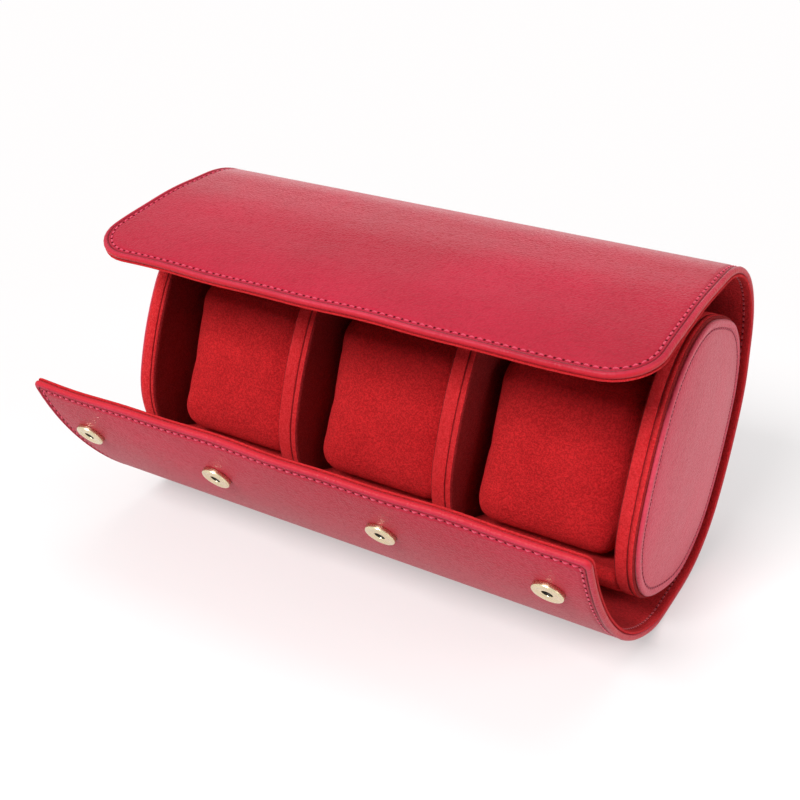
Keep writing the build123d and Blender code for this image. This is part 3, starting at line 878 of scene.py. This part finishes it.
def cap_piece(side):
    """A leather end cap and its stitches, on the right side for 1 and on the left for -1."""
    name = "right" if side > 0 else "left"
    obj = stacked(f"end_cap_{name}", CAP_RINGS, CAP_LEATHER_PAINTED_LIGHT, mirror=side < 0)
    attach(obj, "case")
    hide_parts(f"end_cap_{name}_leather", f"end_cap_{name}_board", f"end_cap_{name}_padding")
    at, _ = evenly(outline(CAP_STITCH, 60, 40), STITCH_PITCH, closed=True)
    after = np.roll(at, -1, axis=0)
    x = side * CAP_FACE
    gap = (after - at) * STITCH_GAP
    starts = [(x, *(p + g)) for p, g in zip(at, gap)]
    ends = [(x, *(p - g)) for p, g in zip(after, gap)]
    sewn = stitch_mesh(f"end_cap_stitches_{name}", starts, ends, [(side, 0, 0)] * len(at), CAP_THREAD)
    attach(sewn, "case")


cap_piece(1)
cap_piece(-1)

# --- cushions and beds -------------------------------------------------------

CUSHION_X = (-70.95, 0.0, 70.95)
CUSHION_WIDTH, CUSHION_DEPTH, CUSHION_HEIGHT = 57.0, 50.0, 66.0
CUSHION_FORWARD, CUSHION_DROP = 10.0, 8.0
CUSHION_ROUND, CUSHION_END_ROUND = 12.0, 6.0
CUSHION_RISE = 2.0              # the cover's crown, above the part's plain block
CUSHION_CUTS, CUSHION_CROWDING = 11, 1.6   # the shell's quads, and how they crowd towards its edges
# how far inside the block the shell starts, with and without the cloth run
CLOTH_SHRINK, PLAIN_SHRINK = 0.9, 0.6
# the cloth run: millimetres to metres ten times over, its voxels and frames, and how much of it is kept
PUFF_SIZE = 0.01
PUFF_VOXEL = 0.026
PUFF_FRAMES = 20
PUFF_REACH, PUFF_SHARE = 0.03, 0.4


def cushion_shell(shrink):
    """A block of quads about its own middle, with its long edges rounder than its ends."""
    bm = bmesh.new()
    bmesh.ops.create_cube(bm, size=2.0)
    bmesh.ops.subdivide_edges(bm, edges=bm.edges[:], cuts=CUSHION_CUTS, use_grid_fill=True)
    half_x = CUSHION_WIDTH / 2 - shrink
    half = np.array([CUSHION_DEPTH / 2 - shrink, CUSHION_HEIGHT / 2 - shrink])
    core = half - CUSHION_ROUND
    for v in bm.verts:
        across, *section = np.sign(v.co) * (1 - (1 - np.abs(v.co)) ** CUSHION_CROWDING)
        section = np.array(section)
        share = np.abs(section).max()
        x = across * half_x
        near_end = max(abs(x) - (half_x - CUSHION_END_ROUND), 0) / CUSHION_END_ROUND
        inwards = CUSHION_END_ROUND * (1 - math.sqrt(max(0.0, 1 - near_end * near_end)))
        if share > 0:
            rim = section / share * half
            past = np.maximum(np.abs(rim) - core, 0)
            reach = CUSHION_ROUND - inwards
            rim = np.sign(rim) * np.where(past > 0, core + past * (reach / np.hypot(*past)), np.abs(rim))
            section = rim * share
        v.co = Vector((x, *section))
    bm.normal_update()
    return bm


def cushion_mesh():
    """The cushions' cover about its own middle, in millimetres."""
    mesh = bpy.data.meshes.new("cushion_cover")
    bm = cushion_shell(CLOTH_SHRINK)
    bm.to_mesh(mesh)
    bm.free()
    obj = bpy.data.objects.new("cushion_work", mesh)
    bpy.context.collection.objects.link(obj)
    bpy.context.view_layer.objects.active = obj
    obj.select_set(True)
    puff(obj)
    smooth = obj.modifiers.new("smooth", "SUBSURF")
    smooth.levels = smooth.render_levels = 1
    bpy.ops.object.modifier_apply(modifier="smooth")
    result = obj.data
    bpy.data.objects.remove(obj)
    return result


def puff(obj):
    """Inflates a cover by a short cloth run, at ten times its size so that the solver's lengths suit it."""
    obj.data.transform(Matrix.Scale(PUFF_SIZE, 4))
    remesh = obj.modifiers.new("remesh", "REMESH")
    remesh.mode = "VOXEL"
    remesh.voxel_size = PUFF_VOXEL
    bpy.ops.object.modifier_apply(modifier="remesh")
    before = np.array([v.co for v in obj.data.vertices])
    cloth = obj.modifiers.new("cloth", "CLOTH")
    cloth.settings.use_pressure = True
    cloth.settings.uniform_pressure_force = 4.0
    cloth.settings.effector_weights.gravity = 0
    cloth.settings.tension_stiffness = 20
    cloth.settings.bending_stiffness = 0.6
    scene = bpy.context.scene
    for f in range(1, PUFF_FRAMES + 1):
        scene.frame_set(f)
    graph = bpy.context.evaluated_depsgraph_get()
    after = np.array([v.co for v in obj.evaluated_get(graph).data.vertices])
    obj.modifiers.remove(cloth)
    scene.frame_set(1)
    move = after - before
    size = np.linalg.norm(move, axis=1)
    size[size == 0] = 1
    move *= np.minimum(1, PUFF_REACH / size)[:, None] * PUFF_SHARE
    obj.data.vertices.foreach_set("co", (before + move).ravel())
    obj.data.transform(Matrix.Scale(1 / PUFF_SIZE, 4))
    obj.data.update()


cover = cushion_mesh()
local = np.array([v.co for v in cover.vertices])
cover_faces = [tuple(p.vertices) for p in cover.polygons]
cover_y = local[:, 1] - CUSHION_FORWARD
cover_z = local[:, 2] * (1 + CUSHION_RISE / CUSHION_HEIGHT) - CUSHION_DROP + CUSHION_RISE / 2
cover_section = place_all(np.c_[cover_y, cover_z])
for side, x in zip(("left", "middle", "right"), CUSHION_X):
    obj = make(f"cushion_{side}", np.c_[local[:, 0] + x, cover_section], cover_faces, [SUEDE])
    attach(obj, f"cushion_{side}")
    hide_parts(f"cushion_{side}_suede", f"cushion_{side}_foam")

# beds: the padded suede that carries each cushion, open to the front and the top
BED_SPANS = (("left", -103.5, -39.4), ("middle", -30.4, 30.4), ("right", 39.4, 103.5))
BED_BACK, BED_FLOOR, BED_TOP, BED_FRONT = 15.5, -41.5, 22.0, -33.0
BED_CORNER = 20.5


def bed_outline():
    """The bed's section, leant: along the walls' outline outside, and round the cushion inside."""
    upright = np.array([turned(y, z - CENTRE_HEIGHT, LEAN) for y, z in outline(-0.15, 24, 24)])
    rear = upright[(upright[:, 0] > 0) & (upright[:, 1] < BED_TOP)]
    under = upright[(upright[:, 0] <= 0) & (upright[:, 0] > BED_FRONT) & (upright[:, 1] < 0)]
    outer = np.vstack([under[under[:, 0].argsort()], rear[rear[:, 1].argsort()]])
    hollow = [(BED_BACK, z) for z in (BED_TOP, 12.0, 0.0, -12.0)]
    centre_y, centre_z = BED_BACK - BED_CORNER, BED_FLOOR + BED_CORNER
    for k in range(9):
        a = math.radians(-90.0 * k / 8)
        hollow.append((centre_y + BED_CORNER * math.cos(a), centre_z + BED_CORNER * math.sin(a)))
    hollow += [(y, BED_FLOOR) for y in (-13.0, -21.0, -29.0, BED_FRONT)]
    return np.vstack([outer, hollow])


def inset_loop(loop, distance):
    """A closed loop moved inwards, point by point."""
    ahead = np.roll(loop, -1, axis=0) - loop
    ahead /= np.hypot(*ahead.T)[:, None]
    behind = np.roll(ahead, 1, axis=0)
    mean = ahead + behind
    mean /= np.hypot(*mean.T)[:, None]
    share = np.clip((mean * ahead).sum(axis=1), 0.6, 1.0)
    return loop + np.c_[-mean[:, 1], mean[:, 0]] * (distance / share)[:, None]


# a bed's round ends, as insets of its outline and ways along, and its gap to the walls
BED_EDGE = ((2.4, 0.0), (1.2, 0.15), (0.5, 0.6), (0.12, 1.3), (0.0, 2.4))
BED_GAP = 0.15


def bed_piece(side, x0, x1):
    """The bed between two walls' faces."""
    loop = bed_outline()
    rings = [(d, x0 + BED_GAP + t) for d, t in BED_EDGE]
    rings += [(0.0, x) for x in np.linspace(x0 + 8, x1 - 8, 7)]
    rings += [(d, x1 - BED_GAP - t) for d, t in BED_EDGE[::-1]]
    verts = [(x, *place(y, z)) for distance, x in rings for y, z in inset_loop(loop, distance)]
    obj = make(f"bed_cover_{side}", verts, tube_faces(len(rings), len(loop)), [SUEDE])
    outward(obj)
    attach(obj, "case")
    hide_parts(f"bed_{side}")


for side, x0, x1 in BED_SPANS:
    bed_piece(side, x0, x1)

# --- snaps -------------------------------------------------------------------

# radius, height above the leather, and material: 0 plate, 1 dark core, the magnet's dark metal darkened
# further as painted shade of the bore
SOCKET_PROFILE = (
    (0.0, -1.2, 0), (5.2, -1.2, 0), (5.3, 0.0, 0), (5.6, 0.05, 0), (5.75, 0.3, 0), (5.75, 1.6, 0),
    (5.68, 1.95, 0), (5.4, 2.2, 0), (4.95, 2.3, 0), (4.3, 2.26, 0), (3.8, 2.12, 0), (3.55, 1.98, 0),
    (3.2, 1.95, 0), (2.8, 2.02, 0), (2.35, 2.1, 0), (2.1, 2.05, 0), (2.0, 1.8, 0), (1.95, 0.4, 1),
    (1.7, 0.2, 1), (0.9, 0.15, 1), (0.0, 0.15, 1),
)
STUD_PROFILE = (
    (0.0, -0.8, 0), (4.2, -0.8, 0), (4.4, 0.0, 0), (4.75, 0.12, 0), (4.75, 0.5, 0), (4.4, 0.85, 0),
    (3.4, 1.0, 0), (2.1, 1.05, 0), (1.55, 1.3, 0), (1.4, 2.0, 0), (1.6, 2.6, 0), (1.6, 3.1, 0),
    (1.25, 3.45, 0), (0.0, 3.55, 0),
)
SOCKET_SINK = 0.15              # how far the leather gives under a socket
SNAP_SIDES = 32


def snap_rings(name, profile, run, depth, facing):
    """Turned metal pieces at the four snaps' places, standing on the wrap at one run and depth."""
    point, out = on_path(run)
    foot, out = point - out * depth, out * facing
    across = np.array((-out[1], out[0]))
    verts, faces, which = [], [], []
    for x in SNAPS:
        rings = []
        for r, h, _ in profile:
            first = len(verts)
            if r == 0:
                verts.append((x, *(foot + out * h)))
                rings.append([first] * SNAP_SIDES)
                continue
            for q in range(SNAP_SIDES):
                a = 2 * math.pi * q / SNAP_SIDES
                verts.append((x + r * math.cos(a), *(foot + out * h + across * r * math.sin(a))))
            rings.append(list(range(first, len(verts))))
        for (a, b), (_, _, kind) in zip(zip(rings, rings[1:]), profile[1:]):
            for q in range(SNAP_SIDES):
                p = (q + 1) % SNAP_SIDES
                corners = [a[q], a[p], b[p], b[q]]
                faces.append([c for i, c in enumerate(corners) if c != corners[i - 1]])
                which.append(kind)
    obj = make(name, verts, faces, [SNAP, MAGNET_AND_BORE_SHADE], face_material=which)
    outward(obj)
    return obj


sockets = snap_rings("snap_sockets", SOCKET_PROFILE, SOCKET_FROM_EDGE, SOCKET_SINK, 1)
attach(sockets, "lower_flap_outer")
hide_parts("snap_socket_shells", "snap_socket_magnets", "snap_socket_pins")
studs = snap_rings("snap_stud_posts", STUD_PROFILE, PATH_LENGTH - STUD_FROM_EDGE, WRAP_THICKNESS, -1)
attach(studs, "upper_flap_front")
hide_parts("snap_studs", "snap_stud_pins")

# --- floor, lights, camera ---------------------------------------------------

FLOOR_REACH = 3000


def seen_ray(n):
    """1 for rays that show the stage itself: from the camera, in a gloss, or through glass."""
    path = n.add("ShaderNodeLightPath")
    seen = n.math("ADD", path.outputs["Is Camera Ray"], path.outputs["Is Glossy Ray"])
    return n.math("ADD", seen, path.outputs["Is Transmission Ray"], clamp=True)


def floor():
    """A pale floor that shows the case's shadow near it, and plain white further away."""
    corners = [(x * FLOOR_REACH, y * FLOOR_REACH, 0) for x, y in ((-1, -1), (1, -1), (1, 1), (-1, 1))]
    obj = make("floor", corners, [(0, 1, 2, 3)], [])
    material, n, shader = start_material("floor_paper")
    fixed(shader, Base_Color=(0.8, 0.78, 0.78, 1), Roughness=0.7, Specular_IOR_Level=0.3)
    glow = n.add("ShaderNodeEmission", {"Color": (1, 0.985, 0.985, 1), "Strength": 1.0})
    reach = n.add("ShaderNodeVectorMath", {0: object_place(n)}, operation="LENGTH").outputs["Value"]
    share = n.spread(reach, 0.13, 0.36, 0.40, 1.0)
    both = n.add("ShaderNodeMixShader", {0: n.math("MULTIPLY", seen_ray(n), share)})
    n.tree.links.new(shader.outputs[0], both.inputs[1])
    n.tree.links.new(glow.outputs[0], both.inputs[2])
    out = n.tree.nodes["Material Output"]
    n.tree.links.new(both.outputs[0], out.inputs["Surface"])
    obj.data.materials.append(material)


floor()


def lamp(name, place, aim, size, power):
    """A soft rectangular lamp that the camera doesn't see."""
    data = bpy.data.lights.new(name, "AREA")
    data.shape = "RECTANGLE"
    data.size, data.size_y = size
    data.energy = power
    obj = bpy.data.objects.new(name, data)
    bpy.context.collection.objects.link(obj)
    obj.location = place
    direction = Vector(aim) - Vector(place)
    obj.rotation_euler = direction.to_track_quat("-Z", "Y").to_euler()
    obj.visible_camera = False


lamp("key", (-0.25, -1.48, 1.45), (0, 0, 0.06), (0.7, 0.7), 51)
lamp("back", (-0.7, 1.4, 0.25), (0, 0, 0.1), (1.2, 0.3), 3)
lamp("fill", (1.6, 0.1, 0.7), (0, 0, 0.06), (1.0, 0.9), 14)
lamp("top", (0.0, 0.2, 1.6), (0, 0, 0.1), (1.2, 0.7), 7)

scene = bpy.context.scene
world = bpy.data.worlds.new("studio")
world.use_nodes = True
sky = Nodes(world.node_tree)
back = world.node_tree.nodes["Background"]
back.inputs["Color"].default_value = (1, 1, 1, 1)
# white where it is seen, and weaker as light on the case
sky.tree.links.new(sky.spread(seen_ray(sky), 0.0, 1.0, 0.22, 1.0), back.inputs["Strength"])
scene.world = world
scene.view_settings.view_transform = "Standard"

camera_data = bpy.data.cameras.new("camera")
camera_data.lens = 53.92
camera_data.sensor_width = 36.0
camera_data.sensor_fit = "HORIZONTAL"
camera_data.clip_start = 0.01
camera_data.clip_end = 20
camera = bpy.data.objects.new("camera", camera_data)
bpy.context.collection.objects.link(camera)
azimuth, elevation, distance = math.radians(30.907), math.radians(28.146), 0.47856
target = Vector((-0.00152, -0.02056, 0.06214))
level = math.cos(elevation)
away = Vector((math.sin(azimuth) * level, -math.cos(azimuth) * level, math.sin(elevation)))
camera.location = target + away * distance
camera.rotation_euler = (-away).to_track_quat("-Z", "Y").to_euler()
scene.camera = camera
